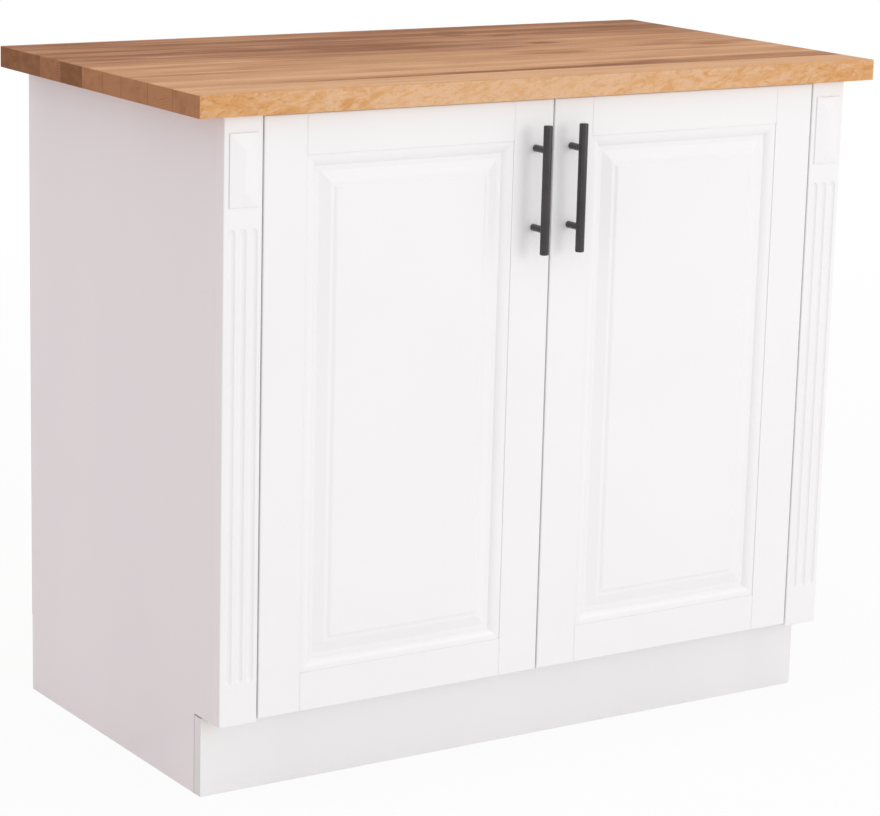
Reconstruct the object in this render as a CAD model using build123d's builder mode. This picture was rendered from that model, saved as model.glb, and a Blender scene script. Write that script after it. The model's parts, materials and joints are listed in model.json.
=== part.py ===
from build123d import *
import os

# Kitchen base cabinet with two doors between fluted pilasters, under a glued oak worktop.
# Millimetres. X runs to the right, Y to the back, Z up. The origin is on the floor, in the
# middle of the whole object's box, handles included.

# Carcass
width = 900  # over the side panels
height = 820  # floor to the underside of the worktop
depth = 510  # pilaster face to the back of the cabinet
board = 16  # carcass boards
back_board = 3
toe_height = 100  # floor to the underside of the bottom panel
toe_recess = 46  # pilaster face to plinth face
plinth_drop = 2  # the plinth stops this far under the bottom panel
rail_width = 100  # stretcher rails under the worktop
strip_width = 96  # uprights that carry the hinges
shelf_height = 452  # floor to the top of the shelf
shelf_gap = 1.5  # air at each end of the shelf
shelf_set_back = 8  # from the uprights to the shelf's front edge
back_panel_margin = 1  # the back panel stops short of the cabinet's outline
fit_gap = 0.05  # air round a pin or dowel in its hole
tip_gap = 1  # between a screw's or pin's tip and the bottom of its hole

# Worktop
top_thick = 26
top_side = 38  # overhang at each end
top_front = 12  # overhang beyond the pilasters
top_edge = 1.5  # eased edge

# Pilasters
pilaster_width = 50
pilaster_thick = 20
pilaster_edge = 1.5
plaque_width = 37
plaque_down = 20  # from the pilaster's top to the plaque
plaque_tall = 85
plaque_step = 1.4  # straight step round the plaque
plaque_rise = 3.2  # from the step to the ridge
plaque_ridge = 0.6  # width of the ridge
flute_count = 3
flute_pitch = 14.5
flute_width = 9
flute_depth = 2.6
flute_down = 24  # from the plaque to the flutes
flute_up = 50  # from the pilaster's foot to the flutes

# Doors
door_thick = 18
door_gap = 2  # between the doors, and from a door to its pilaster
door_lift = 3  # from the pilasters' foot to the doors
door_drop = 2  # from the doors to the worktop
door_edge = 1.5
stile = 56  # door edge to the moulding, at the sides
rail = 48  # door edge to the moulding, at top and bottom
bead_width = 3
bead_depth = 1
cove_width = 11
cove_depth = 5.5
valley_width = 6
bevel_width = 13
bevel_rise = 4.7
land_width = 4.5
step_width = 3.5
score_width = 0.9
score_depth = 0.6

# Soft pads that the doors close on
bumper_diameter = 9
bumper_thick = 2
bumper_air = 0.1
bumper_inset = 14  # from the doors' meeting edge
bumper_edge = 6  # from the door's top or bottom edge

# Bar handles
handle_length = 156
handle_centres = 96
handle_diameter = 11
handle_end = 1.2  # chamfer at the bar's ends
post_diameter = 8.5
handle_reach = 25  # door face to the bar's axis
handle_inset = 25  # from the doors' meeting edge
handle_down = 58  # from the door's top edge to the upper post
handle_bolt = 4
handle_bolt_grip = 9  # thread in the post
bolt_head = 8.5
bolt_head_tall = 1.8

# Shelf pins
pin_diameter = 5
pin_depth = 9  # hole in the side panel
pin_out = 8
pin_collar = 7
pin_collar_thick = 1
pin_rows = 3  # holes above one another
pin_pitch = 32
pin_front = 60  # from the shelf's front edge
pin_back = 50  # from the back panel

# Cam fittings, dowels and screws
cam_diameter = 15
cam_depth = 12
cam_reach = 24  # from a board's end to the cam
cam_inset = 40  # from a board's front and back edges to its fittings
cam_bolt = 6
cam_bolt_bite = 10  # in the side panel
dowel_diameter = 8
dowel_bite = 11
dowel_length = 28
dowel_step = 32  # from a cam to the dowel beside it
rail_fitting_inset = 30  # from a rail's edges to its cam and its dowel
screw_diameter = 4
screw_head = 8
screw_head_tall = 2.4
screw_hole_gap = 0.25
head_sides = 12  # small fasteners are prisms
shank_sides = 8
hole_sides = 12  # so are their holes, round the full diameter
round_sides = 24  # and small discs
top_screw_bite = 14
top_screw_inset = 70  # from the side panels
batten_thick = 18
pilaster_screw_bite = 10
pilaster_screw_inset = 60  # from the batten's ends

# Cup hinges, two a door. In plan, "in" counts from the pilaster's inner edge towards the
# cabinet's middle, and "out" counts from the carcass's front edge towards the viewer.
hinge_end = 100  # from the door's top or bottom edge to a hinge
cup_diameter = 35
cup_edge = 4  # from the door's edge to the cup
cup_deep = 13.2
cup_wall = 1
cup_floor = 0.8
flange_thick = 1.2
flange_wide = 15
flange_long = 62
flange_shift = 2.6  # from the cup's middle to the flange's, away from the door's edge
flange_corner = 4
cup_screw = 3.5
cup_screw_spread = 48
cup_screw_shift = 5.5
cup_screw_bite = 10
cup_screw_head = 6.4
cup_screw_head_tall = 0.7
cup_pivot_side = 11.5  # from the cup's middle to its pivot, towards the door's edge
cup_pivot_up = 5.6  # from the bottom of the cup's bore to its pivot
arm_pivot_side = 19  # from the cup's pivot to the arm's, towards the cabinet's middle
arm_pivot_back = 13.6
elbow_side = 11  # the link bows round the door's edge between its pivots
elbow_fore = 2.4
bend_side = 15.5
bend_back = 1.6
link_wide = 3.2
link_plate = 1.6
link_half = 5.4  # half the link's height
arm_eye = 2.8
cup_eye = 2.4
hinge_pin = 2.4
hinge_pin_proud = 0.5
pin_running = 0.05
pin_seat = 0.02
layer_gap = 0.4  # between the link and what carries its pins
ear = 1.2  # sheet of the arm, and of the lugs in the cup
lug_round = 3
arm_round = 4.4
arm_near = 7  # from the arm's pivot to the edges of its ears, towards the upright
arm_far = 5  # from the arm's pivot to the outer face of its back
arm_start = 2  # the ears widen this far behind the pivot
arm_back_start = 5
arm_long = 56  # pivot to the arm's rear end
arm_screw_line = 44  # pivot to the screw that holds the arm on its plate
arm_screw_length = 9
arm_screw_head = 7.5
arm_screw_head_tall = 1.8
plate_sheet = 2
plate_wing = 48
plate_wing_wide = 15
plate_line = 33  # arm's pivot to the plate's screws
plate_front = 26
plate_back = 52
plate_screw = 5
plate_screw_spread = 32
plate_screw_bite = 12
plate_screw_head = 9
plate_screw_head_tall = 2

# Plinth brackets
bracket_width = 34
bracket_leg = 38
bracket_wall = 3
bracket_count = 3
bracket_inset = 120  # from the side panels

# Places that follow from the sizes
handle_out = handle_reach + handle_diameter / 2
door_proud = bumper_thick + door_thick - pilaster_thick
total_depth = depth + max(handle_out + door_proud, top_front)
back = total_depth / 2
front = back - depth  # pilaster face
carcass_front = front + pilaster_thick
panel_back = back - back_board
half = width / 2
inner = half - board
opening = half - pilaster_width  # the pilaster's inner edge
floor_top = toe_height + board
rail_low = height - board
door_back = carcass_front - bumper_thick
door_front = door_back - door_thick
door_low = toe_height + door_lift
door_high = height - door_drop
door_tall = door_high - door_low
door_centre = (door_high + door_low) / 2
door_wide = opening - door_gap * 1.5
door_middle = opening - door_gap - door_wide / 2
plinth_front = front + toe_recess
notch_back = plinth_front + board
shelf_front = carcass_front + strip_width + shelf_set_back
shelf_low = shelf_height - board
hinge_heights = (door_low + hinge_end, door_high - hinge_end)
cup_in = door_gap + cup_edge + cup_diameter / 2
cup_bottom = bumper_thick + cup_deep
cup_pivot = (cup_in - cup_pivot_side, cup_bottom - cup_pivot_up)
arm_pivot = (cup_pivot[0] + arm_pivot_side, cup_pivot[1] - arm_pivot_back)
elbow = (cup_pivot[0] + elbow_side, cup_pivot[1] + elbow_fore)
bend = (cup_pivot[0] + bend_side, cup_pivot[1] - bend_back)
arm_face = arm_pivot[0] + arm_far
plate_face = board + plate_sheet
sides = {"left": -1, "right": 1}
on_low = (Align.CENTER, Align.CENTER, Align.MIN)
on_high = (Align.CENTER, Align.CENTER, Align.MAX)


def save(piece, label):
    """Names a finished piece and writes it as one STEP file."""
    piece.part.label = label
    export_step(piece.part, f"parts/{label}.step")


def plan(side, place_in, place_out):
    """A hinge place in plan, as X and Y."""
    return side * (opening - place_in), carcass_front - place_out


def plate_screw_places(side, face):
    """Planes of one side's mounting plate screws, on a face this far in from the opening."""
    x, y = plan(side, face, arm_pivot[1] - plate_line)
    spreads = (-plate_screw_spread / 2, plate_screw_spread / 2)
    return [Plane((x, y, z + spread), z_dir=(-side, 0, 0)) for z in hinge_heights for spread in spreads]


def cup_screw_places(side, y):
    """Planes of one door's cup screws, on the face at y that their heads or holes start from."""
    x = plan(side, cup_in + cup_screw_shift, 0)[0]
    spreads = (-cup_screw_spread / 2, cup_screw_spread / 2)
    return [Plane((x, y, z + spread), z_dir=(0, 1, 0)) for z in hinge_heights for spread in spreads]


def facing_x(x, y, z, towards):
    """A plane that faces along X, towards 1 or -1."""
    return Plane((x, y, z), z_dir=(towards, 0, 0))


def facing_back(x, heights, y):
    """Planes that face the cabinet's back, at one X and Y and several heights."""
    return [Plane((x, y, z), z_dir=(0, 1, 0)) for z in heights]


def drill(places, radius, depth):
    """Bores small holes into the piece from planes whose Z points out of it."""
    with BuildSketch(*places) as mouths:
        RegularPolygon(radius, hole_sides, major_radius=False)
    extrude(mouths.sketch, amount=-depth, mode=Mode.SUBTRACT)


os.makedirs("parts", exist_ok=True)

# Worktop
with BuildPart() as worktop:
    with Locations((0, (front - top_front + back) / 2, height)):
        Box(width + 2 * top_side, depth + top_front, top_thick, align=on_low)
    upper_edges = worktop.edges().group_by(Axis.Z)[-1]
    fillet(upper_edges + worktop.edges().filter_by(Axis.Z), top_edge)
    rail_middles = (carcass_front + rail_width / 2, panel_back - rail_width / 2)
    screw_columns = (-inner + top_screw_inset, inner - top_screw_inset)
    screw_grid = [(x, y) for x in screw_columns for y in rail_middles]
    under_top = [Plane((x, y, height), z_dir=(0, 0, -1)) for x, y in screw_grid]
    drill(under_top, screw_diameter / 2, top_screw_bite)
save(worktop, "worktop")


def fitting_rows(y_low, y_high):
    """Places along a board's end for its cams, with a dowel beside each."""
    cams = (y_low + cam_inset, y_high - cam_inset)
    dowels = (cams[0] + dowel_step, cams[1] - dowel_step)
    return cams, dowels


# Every board that is fitted between the side panels: its middle height and its span in Y
cross_boards = {
    "bottom_panel": (toe_height + board / 2, carcass_front, panel_back),
    "front_rail": (height - board / 2, carcass_front, carcass_front + rail_width),
    "back_rail": (height - board / 2, panel_back - rail_width, panel_back),
}


def board_fittings(name):
    """Cam and dowel places of one cross board, as lists of Y, and its middle height."""
    z, y_low, y_high = cross_boards[name]
    if name == "bottom_panel":
        cams, dowels = fitting_rows(y_low, y_high)
    else:
        cams = (y_low + rail_fitting_inset,)
        dowels = (y_high - rail_fitting_inset,)
    return z, cams, dowels


# Side panels, notched for the toe space and drilled for fittings and shelf pins
shelf_pin_y = (shelf_front + pin_front, panel_back - pin_back)
shelf_pin_z = shelf_low - pin_diameter / 2
pin_heights = [shelf_pin_z + pin_pitch * (n - pin_rows // 2) for n in range(pin_rows)]
for name, side in sides.items():
    with BuildPart() as side_panel:
        with BuildSketch(Plane.YZ.offset(min(side * half, side * inner))):
            with BuildLine():
                Polyline(
                    (carcass_front, height),
                    (panel_back, height),
                    (panel_back, 0),
                    (notch_back, 0),
                    (notch_back, toe_height),
                    (carcass_front, toe_height),
                    close=True,
                )
            make_face()
        extrude(amount=board)
        pin_places = [facing_x(side * inner, y, z, -side) for y in shelf_pin_y for z in pin_heights]
        drill(pin_places, pin_diameter / 2, pin_depth)
        for cross_board in cross_boards:
            z, cams, dowels = board_fittings(cross_board)
            drill([facing_x(side * inner, y, z, -side) for y in cams], cam_bolt / 2, cam_bolt_bite)
            dowel_places = [facing_x(side * inner, y, z, -side) for y in dowels]
            drill(dowel_places, dowel_diameter / 2, dowel_bite + fit_gap)
    save(side_panel, f"side_panel_{name}")

# Bottom panel and stretcher rails, bored at their ends for dowels and bolts, and below for cams
for name, (z, y_low, y_high) in cross_boards.items():
    _, cams, dowels = board_fittings(name)
    with BuildPart() as cross_board:
        with Locations((0, (y_low + y_high) / 2, z)):
            Box(2 * inner, y_high - y_low, board)
        for side in sides.values():
            dowel_ends = [facing_x(side * inner, y, z, side) for y in dowels]
            drill(dowel_ends, dowel_diameter / 2, dowel_length - dowel_bite + fit_gap)
            drill([facing_x(side * inner, y, z, side) for y in cams], cam_bolt / 2, cam_reach)
            with BuildSketch(Plane.XY.offset(z - board / 2)):
                with Locations(*[(side * (inner - cam_reach), y) for y in cams]):
                    RegularPolygon(cam_diameter / 2, round_sides, major_radius=False)
            extrude(amount=cam_depth, mode=Mode.SUBTRACT)
        if name != "bottom_panel":
            upper_places = [Plane((x, (y_low + y_high) / 2, height)) for x in screw_columns]
            drill(upper_places, screw_diameter / 2 + screw_hole_gap, board)
    save(cross_board, name)

# Cams, their bolts, and the dowels beside them
with BuildPart() as cams_all:
    for name, (z, _, _) in cross_boards.items():
        _, cams, _ = board_fittings(name)
        with BuildSketch(Plane.XY.offset(z - board / 2 + fit_gap)):
            with Locations(*[(side * (inner - cam_reach), y) for side in sides.values() for y in cams]):
                RegularPolygon(cam_diameter / 2 - fit_gap, round_sides)
        extrude(amount=cam_depth - 2 * fit_gap)
save(cams_all, "cam_discs")

cam_bolt_length = cam_bolt_bite + cam_reach - cam_diameter / 2
with BuildPart() as cam_bolts:
    for name, (z, _, _) in cross_boards.items():
        _, cams, _ = board_fittings(name)
        for side in sides.values():
            for y in cams:
                outer_end = side * (inner + cam_bolt_bite - fit_gap)
                with BuildSketch(Plane((outer_end, y, z), z_dir=(-side, 0, 0))):
                    RegularPolygon(cam_bolt / 2 - fit_gap, shank_sides)
                extrude(amount=cam_bolt_length - fit_gap)
save(cam_bolts, "cam_bolts")

with BuildPart() as dowels_all:
    for name, (z, _, _) in cross_boards.items():
        _, _, dowels = board_fittings(name)
        for side in sides.values():
            for y in dowels:
                with BuildSketch(Plane((side * (inner + dowel_bite), y, z), z_dir=(-side, 0, 0))):
                    RegularPolygon(dowel_diameter / 2 - fit_gap, head_sides)
                extrude(amount=dowel_length)
save(dowels_all, "dowels")

# Back panel, on the back edges of the boards
with BuildPart() as back_panel:
    with Locations((0, back - back_board / 2, (toe_height + height) / 2)):
        Box(
            width - 2 * back_panel_margin,
            back_board,
            height - toe_height - 2 * back_panel_margin,
        )
save(back_panel, "back_panel")

# Shelf, loose on four pins behind the hinge uprights
with BuildPart() as shelf:
    with Locations((0, (shelf_front + panel_back - shelf_gap) / 2, shelf_low)):
        Box(2 * (inner - shelf_gap), panel_back - shelf_gap - shelf_front, board, align=on_low)
save(shelf, "shelf")

with BuildPart() as shelf_pins:
    for side in sides.values():
        for y in shelf_pin_y:
            pin_mouth = facing_x(side * inner, y, shelf_pin_z, -side)
            with BuildSketch(pin_mouth):
                RegularPolygon(pin_collar / 2, round_sides)
            extrude(amount=pin_collar_thick)
            with BuildSketch(pin_mouth):
                RegularPolygon(pin_diameter / 2 - fit_gap, hole_sides)
            extrude(amount=pin_out)
            with BuildSketch(pin_mouth):
                RegularPolygon(pin_diameter / 2 - fit_gap, hole_sides)
            extrude(amount=tip_gap - pin_depth)
save(shelf_pins, "shelf_pins")

# Plinth, across the whole front under the pilasters, with its brackets under the bottom panel
with BuildPart() as plinth:
    with Locations((0, plinth_front + board / 2, 0)):
        Box(width, board, toe_height - plinth_drop, align=on_low)
save(plinth, "plinth")

bracket_step = 2 * (inner - bracket_inset) / (bracket_count - 1)
bracket_columns = [-inner + bracket_inset + bracket_step * n for n in range(bracket_count)]
with BuildPart() as plinth_brackets:
    for x in bracket_columns:
        with BuildSketch(Plane.YZ.offset(x - bracket_width / 2)):
            with BuildLine():
                Polyline(
                    (notch_back, toe_height),
                    (notch_back + bracket_leg, toe_height),
                    (notch_back + bracket_leg, toe_height - bracket_wall),
                    (notch_back + bracket_wall, toe_height - bracket_wall),
                    (notch_back + bracket_wall, toe_height - bracket_leg),
                    (notch_back, toe_height - bracket_leg),
                    close=True,
                )
            make_face()
        extrude(amount=bracket_width)
        with BuildSketch(Plane.YZ.offset(x - bracket_wall / 2)):
            with BuildLine():
                Polyline(
                    (notch_back + bracket_wall / 2, toe_height - bracket_wall / 2),
                    (notch_back + bracket_leg - bracket_wall, toe_height - bracket_wall / 2),
                    (notch_back + bracket_wall / 2, toe_height - bracket_leg + bracket_wall),
                    close=True,
                )
            make_face()
        extrude(amount=bracket_wall)
save(plinth_brackets, "plinth_brackets")

# Hinge uprights, battens beside them, and the pilasters screwed on from behind
batten_screws = (floor_top + pilaster_screw_inset, rail_low - pilaster_screw_inset)
batten_middle = (opening + inner) / 2
batten_back = carcass_front + batten_thick
plaque_high = height - plaque_down
plaque_low = plaque_high - plaque_tall
flute_high = plaque_low - flute_down
flute_low = toe_height + flute_up
flute_radius = (flute_width**2 / 4 + flute_depth**2) / (2 * flute_depth)
flute_axis = front + flute_depth - flute_radius
for name, side in sides.items():
    with BuildPart() as upright:
        with Locations((side * (opening - board / 2), carcass_front + strip_width / 2, floor_top)):
            Box(board, strip_width, rail_low - floor_top, align=on_low)
        drill(plate_screw_places(side, board), plate_screw / 2, plate_screw_bite + tip_gap)
    save(upright, f"hinge_upright_{name}")

    with BuildPart() as batten:
        with Locations((side * batten_middle, carcass_front + batten_thick / 2, floor_top)):
            Box(inner - opening, batten_thick, rail_low - floor_top, align=on_low)
        screw_ends = facing_back(side * batten_middle, batten_screws, batten_back)
        drill(screw_ends, screw_diameter / 2 + screw_hole_gap, batten_thick)
    save(batten, f"batten_{name}")

    with BuildPart() as pilaster:
        centre = side * (opening + half) / 2
        with Locations((centre, front + pilaster_thick / 2, toe_height)):
            Box(pilaster_width, pilaster_thick, height - toe_height, align=on_low)
        fillet(pilaster.edges().filter_by(Axis.Z).group_by(Axis.Y)[0], pilaster_edge)
        first_flute = centre - flute_pitch * (flute_count - 1) / 2
        flutes = [(first_flute + flute_pitch * n, flute_axis) for n in range(flute_count)]
        straight_low, straight_high = flute_low + flute_radius, flute_high - flute_radius
        with Locations(*[(x, y, straight_low) for x, y in flutes]):
            Cylinder(flute_radius, straight_high - straight_low, align=on_low, mode=Mode.SUBTRACT)
        with Locations(*[(x, y, z) for x, y in flutes for z in (straight_low, straight_high)]):
            Sphere(flute_radius, mode=Mode.SUBTRACT)
        with BuildSketch(Plane.XZ.offset(-front)):
            with Locations((centre, (plaque_low + plaque_high) / 2)):
                Rectangle(plaque_width, plaque_tall)
        extrude(amount=plaque_step)
        with BuildSketch(Plane.XZ.offset(-front + plaque_step)):
            with Locations((centre, (plaque_low + plaque_high) / 2)):
                Rectangle(plaque_width, plaque_tall)
        with BuildSketch(Plane.XZ.offset(-front + plaque_step + plaque_rise)):
            with Locations((centre, (plaque_low + plaque_high) / 2)):
                Rectangle(plaque_ridge, plaque_tall - plaque_width + plaque_ridge)
        loft(ruled=True)
        screw_tips = facing_back(side * batten_middle, batten_screws, carcass_front)
        drill(screw_tips, screw_diameter / 2, pilaster_screw_bite)
    save(pilaster, f"pilaster_{name}")


def driven_screws(places, shank, length, head, head_tall):
    """Screws as few-sided prisms: each head bears on its plane, and its shank runs along -Z there."""
    with BuildPart() as screws:
        for place in places:
            with BuildSketch(place):
                RegularPolygon(head / 2, head_sides)
            extrude(amount=head_tall)
            with BuildSketch(place):
                RegularPolygon(shank / 2 - fit_gap, shank_sides)
            extrude(amount=-length)
    return screws


top_screw_places = [
    Plane((x, y, rail_low), z_dir=(0, 0, -1)) for x in screw_columns for y in rail_middles
]
worktop_screws = driven_screws(
    top_screw_places, screw_diameter, board + top_screw_bite - tip_gap, screw_head, screw_head_tall
)
save(worktop_screws, "worktop_screws")

batten_places = [
    place
    for side in sides.values()
    for place in facing_back(side * batten_middle, batten_screws, batten_back)
]
pilaster_screws = driven_screws(
    batten_places, screw_diameter, batten_thick + pilaster_screw_bite - tip_gap, screw_head, screw_head_tall
)
save(pilaster_screws, "pilaster_screws")

# Doors: one routed board each, with a raised field inside the moulding
moulding_depth = bead_depth + cove_depth
bevel_top = moulding_depth - bevel_rise
moulding_steps = {
    "bead": bead_width,
    "cove": bead_width + cove_width,
    "valley": bead_width + cove_width + valley_width,
    "bevel": bead_width + cove_width + valley_width + bevel_width,
    "land": bead_width + cove_width + valley_width + bevel_width + land_width,
}
moulding_width = moulding_steps["land"] + step_width
post_heights = (door_high - handle_down, door_high - handle_down - handle_centres)
ear_levels = (link_half + layer_gap, -link_half - layer_gap - ear)  # undersides of a hinge's ears
pin_length = 2 * (ear_levels[0] + ear + hinge_pin_proud)


def link_outline(places):
    """A link's outline along a few places in plan."""
    with BuildLine() as middle_line:
        Polyline(*places)
    trace(middle_line.edges(), link_wide)


def arm_screw_place(side, z, face):
    """The plane of the screw that holds one arm on its mounting plate."""
    return Plane((*plan(side, face, arm_pivot[1] - arm_screw_line), z), z_dir=(-side, 0, 0))


for name, side in sides.items():
    centre = side * door_middle
    meeting = side * door_gap / 2
    handle_x = meeting + side * handle_inset
    with BuildPart() as door:
        with Locations((centre, door_back - door_thick / 2, door_low)):
            Box(door_wide, door_thick, door_tall, align=on_low)
        fillet(door.edges().group_by(Axis.Y)[0], door_edge)
        half_wide = door_wide / 2 - stile
        half_tall = door_tall / 2 - rail
        with BuildLine(Plane.XZ.offset(-door_front)) as moulding_path:
            Polyline(
                (centre, door_centre - half_tall),
                (centre + half_wide, door_centre - half_tall),
                (centre + half_wide, door_centre + half_tall),
                (centre - half_wide, door_centre + half_tall),
                (centre - half_wide, door_centre - half_tall),
                close=True,
            )
        start = Plane((centre, door_front, door_centre - half_tall), x_dir=(0, 0, 1), z_dir=(1, 0, 0))
        with BuildSketch(start) as groove:
            with BuildLine():
                Polyline(
                    (moulding_width, 0),
                    (moulding_width, 1),
                    (0, 1),
                    (0, -bead_depth),
                    (moulding_steps["bead"], -bead_depth),
                )
                RadiusArc(
                    (moulding_steps["bead"], -bead_depth),
                    (moulding_steps["cove"], -moulding_depth),
                    cove_width * 1.15,
                )
                Polyline(
                    (moulding_steps["cove"], -moulding_depth),
                    (moulding_steps["valley"], -moulding_depth),
                    (moulding_steps["bevel"], -bevel_top),
                    (moulding_steps["land"], -bevel_top),
                    (moulding_width, 0),
                )
            make_face()
        sweep(path=moulding_path.line, transition=Transition.RIGHT, mode=Mode.SUBTRACT)
        score_columns = (centre - half_wide, centre + half_wide)
        score_rows = (door_low + rail / 2, door_high - rail / 2)
        with BuildSketch(Plane.XZ.offset(-door_front)):
            with Locations(*[(x, z) for x in score_columns for z in score_rows]):
                Rectangle(score_width, rail + 2 * bead_depth)
        extrude(amount=-score_depth, mode=Mode.SUBTRACT)
        cup_x = plan(side, cup_in, 0)[0]
        with Locations(*facing_back(cup_x, hinge_heights, door_back)):
            Hole(cup_diameter / 2, cup_deep)
        drill(cup_screw_places(side, door_back), cup_screw / 2, cup_screw_bite + tip_gap)
        bolt_places = facing_back(handle_x, post_heights, door_back)
        drill(bolt_places, handle_bolt / 2 + screw_hole_gap, door_thick)
    save(door, f"door_{name}")

    # Bar handle: two posts saddled onto the bar, and the bolts that hold them through the door
    bar_place = (handle_x, door_front - handle_reach, sum(post_heights) / 2)
    with BuildPart() as bar:
        with Locations(bar_place):
            Cylinder(handle_diameter / 2, handle_length)
        chamfer(bar.edges().filter_by(GeomType.CIRCLE), handle_end)
    save(bar, f"handle_bar_{name}")

    with BuildPart() as posts:
        with Locations(*facing_back(handle_x, post_heights, door_front)):
            Cylinder(post_diameter / 2, handle_reach, align=on_high)
        with Locations(bar_place):
            Cylinder(handle_diameter / 2, handle_length, mode=Mode.SUBTRACT)
        post_feet = facing_back(handle_x, post_heights, door_front)
        drill(post_feet, handle_bolt / 2, handle_bolt_grip + tip_gap)
    save(posts, f"handle_posts_{name}")

    handle_bolts = driven_screws(
        facing_back(handle_x, post_heights, door_back),
        handle_bolt,
        door_thick + handle_bolt_grip,
        bolt_head,
        bolt_head_tall,
    )
    save(handle_bolts, f"handle_bolts_{name}")

    bumper_x = meeting + side * bumper_inset
    bumper_heights = (door_low + bumper_edge, door_high - bumper_edge)
    with BuildPart() as bumpers:
        with BuildSketch(*facing_back(bumper_x, bumper_heights, door_back)):
            RegularPolygon(bumper_diameter / 2, round_sides)
        extrude(amount=bumper_thick - bumper_air)
    save(bumpers, f"bumpers_{name}")

    # Hinge cups let into the door: a flange across each mouth, and lugs inside for the pin
    with BuildPart() as cups:
        with Locations(*facing_back(cup_x, hinge_heights, door_back)):
            Cylinder(cup_diameter / 2 - fit_gap, cup_deep, align=on_high)
        with BuildSketch(Plane.XZ.offset(-door_back)):
            with Locations(*[(cup_x - side * flange_shift, z) for z in hinge_heights]):
                RectangleRounded(flange_wide, flange_long, flange_corner)
        extrude(amount=-flange_thick)
        with Locations(*facing_back(cup_x, hinge_heights, door_back + flange_thick)):
            Cylinder(
                cup_diameter / 2 - cup_wall,
                cup_deep + flange_thick - cup_floor,
                align=on_high,
                mode=Mode.SUBTRACT,
            )
        lug_foot = plan(side, cup_pivot[0], (cup_pivot[1] + cup_bottom) / 2)
        for low in [z + level for z in hinge_heights for level in ear_levels]:
            with BuildSketch(Plane.XY.offset(low)):
                with Locations(plan(side, *cup_pivot)):
                    Circle(lug_round)
                with Locations(lug_foot):
                    Rectangle(2 * lug_round, cup_bottom - cup_pivot[1] - cup_floor / 2)
            extrude(amount=ear)
        with Locations(*[(*plan(side, *cup_pivot), z) for z in hinge_heights]):
            Cylinder(hinge_pin / 2 + pin_seat, pin_length, mode=Mode.SUBTRACT)
        drill(cup_screw_places(side, door_back + flange_thick), cup_screw / 2, flange_thick)
    save(cups, f"hinge_cups_{name}")

    cup_screws = driven_screws(
        cup_screw_places(side, door_back + flange_thick),
        cup_screw,
        cup_screw_bite + flange_thick,
        cup_screw_head,
        cup_screw_head_tall,
    )
    save(cup_screws, f"cup_screws_{name}")

    with BuildPart() as cup_pins:
        with Locations(*[(*plan(side, *cup_pivot), z) for z in hinge_heights]):
            Cylinder(hinge_pin / 2, pin_length)
    save(cup_pins, f"cup_pins_{name}")

    # Hinge links: two plates with a web between them, bowed round the door's edge
    link_line = [plan(side, *place) for place in (arm_pivot, bend, elbow, cup_pivot)]
    with BuildPart() as links:
        for z in hinge_heights:
            for low in (-link_half, link_half - link_plate):
                with BuildSketch(Plane.XY.offset(z + low)):
                    link_outline(link_line)
                    with Locations(link_line[0]):
                        Circle(arm_eye)
                    with Locations(link_line[-1]):
                        Circle(cup_eye)
                extrude(amount=link_plate)
            with BuildSketch(Plane.XY.offset(z - link_half)):
                link_outline(link_line[1:3])
            extrude(amount=2 * link_half)
            with Locations((*link_line[0], z), (*link_line[-1], z)):
                Cylinder(hinge_pin / 2 + pin_running, pin_length, mode=Mode.SUBTRACT)
    save(links, f"hinge_links_{name}")

# Hinge arms: channels open towards the uprights, whose ears hold the links' pins
arm_end = arm_pivot[1] - arm_long
back_middle = (arm_pivot[1] - arm_back_start + arm_end) / 2
with BuildPart() as arms:
    for side in sides.values():
        for z in hinge_heights:
            for level in ear_levels:
                with BuildSketch(Plane.XY.offset(z + level)):
                    with Locations(plan(side, *arm_pivot)):
                        Circle(arm_round)
                    middle = (arm_face + arm_pivot[0] - arm_near) / 2
                    with Locations(plan(side, middle, (arm_pivot[1] - arm_start + arm_end) / 2)):
                        Rectangle(arm_near + arm_far, arm_long - arm_start)
                extrude(amount=ear)
            with Locations((*plan(side, arm_face - ear / 2, back_middle), z)):
                Box(ear, arm_long - arm_back_start, 2 * (ear_levels[0] + ear))
            with Locations((*plan(side, *arm_pivot), z)):
                Cylinder(hinge_pin / 2 + pin_seat, pin_length, mode=Mode.SUBTRACT)
            drill([arm_screw_place(side, z, arm_face)], screw_diameter / 2 + screw_hole_gap, ear)
save(arms, "hinge_arms")

with BuildPart() as arm_pins:
    with Locations(*[(*plan(side, *arm_pivot), z) for side in sides.values() for z in hinge_heights]):
        Cylinder(hinge_pin / 2, pin_length)
save(arm_pins, "arm_pins")

# Mounting plates: wings screwed to the uprights, and a block that fills the arm's channel
block_top = arm_face - ear
block_middle = arm_pivot[1] - (plate_front + plate_back) / 2
with BuildPart() as plates:
    for side in sides.values():
        for z in hinge_heights:
            with Locations((*plan(side, board + plate_sheet / 2, arm_pivot[1] - plate_line), z)):
                Box(plate_sheet, plate_wing_wide, plate_wing)
            with Locations((*plan(side, (board + block_top) / 2, block_middle), z)):
                Box(block_top - board, plate_back - plate_front, 2 * link_half)
            drill([arm_screw_place(side, z, block_top)], screw_diameter / 2, arm_screw_length)
        drill(plate_screw_places(side, plate_face), plate_screw / 2, plate_sheet)
save(plates, "hinge_plates")

plate_screws = driven_screws(
    [place for side in sides.values() for place in plate_screw_places(side, plate_face)],
    plate_screw,
    plate_screw_bite + plate_sheet,
    plate_screw_head,
    plate_screw_head_tall,
)
save(plate_screws, "plate_screws")

arm_screws = driven_screws(
    [arm_screw_place(side, z, arm_face) for side in sides.values() for z in hinge_heights],
    screw_diameter,
    arm_screw_length,
    arm_screw_head,
    arm_screw_head_tall,
)
save(arm_screws, "arm_screws")
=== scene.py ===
import json
import math
import bmesh
import bpy
from mathutils import Matrix, Vector


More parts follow.
